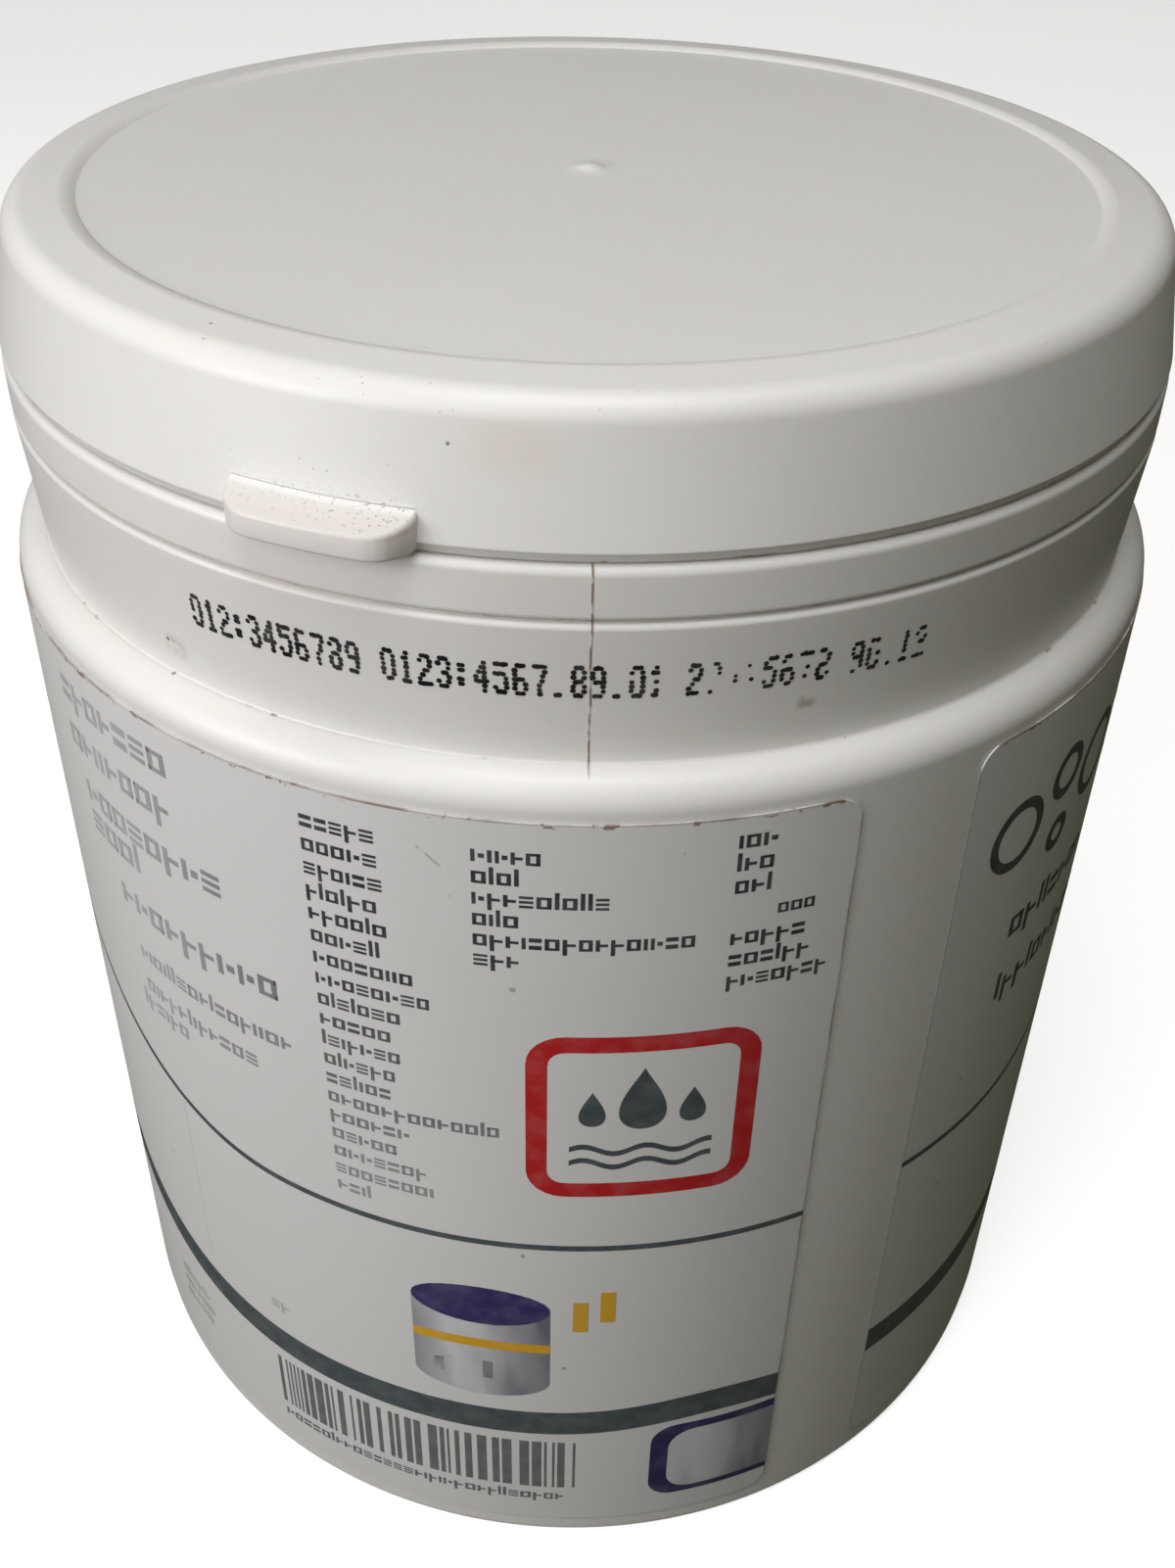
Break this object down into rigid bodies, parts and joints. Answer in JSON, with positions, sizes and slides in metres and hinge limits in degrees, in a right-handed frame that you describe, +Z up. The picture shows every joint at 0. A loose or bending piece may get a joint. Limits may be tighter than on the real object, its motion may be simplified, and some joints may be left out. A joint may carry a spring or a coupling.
{
  "type": "pack of cleaning tablets",
  "caption": "Round white plastic tub of wrapped cleaning tablets, with a push-on lid that has a finger tab, a stepped neck and a wraparound label.",
  "frame": {"origin": "middle of the flat ring that the tub stands on", "axes": "+Z up along the tub's axis; -Y is the side with the finger tab and the label's written side"},
  "size_m": [0.1304, 0.1304, 0.1569],
  "materials": {
    "tub_plastic": "satin white moulded plastic",
    "lid_plastic": "satin white moulded plastic",
    "label_film": "printed white label film",
    "tablet_wrap": "silvery wrapping film"
  },
  "bodies": {
    "tub": {"jar": "tub_plastic", "label": "label_film", "tablet_01": "tablet_wrap", "tablet_02": "tablet_wrap", "tablet_03": "tablet_wrap", "tablet_04": "tablet_wrap", "tablet_05": "tablet_wrap", "tablet_06": "tablet_wrap", "tablet_07": "tablet_wrap", "tablet_08": "tablet_wrap", "tablet_09": "tablet_wrap", "tablet_10": "tablet_wrap", "tablet_11": "tablet_wrap", "tablet_12": "tablet_wrap", "tablet_13": "tablet_wrap", "tablet_14": "tablet_wrap", "tablet_15": "tablet_wrap", "tablet_16": "tablet_wrap", "tablet_17": "tablet_wrap", "tablet_18": "tablet_wrap", "tablet_19": "tablet_wrap", "tablet_20": "tablet_wrap", "tablet_21": "tablet_wrap"},
    "lid": {"lid": "lid_plastic"}
  },
  "joints": [
    {"name": "lid_lift", "type": "slide", "parent": "tub", "child": "lid", "axis": [0, 0, 1], "range_m": [0, 0.04]}
  ]
}
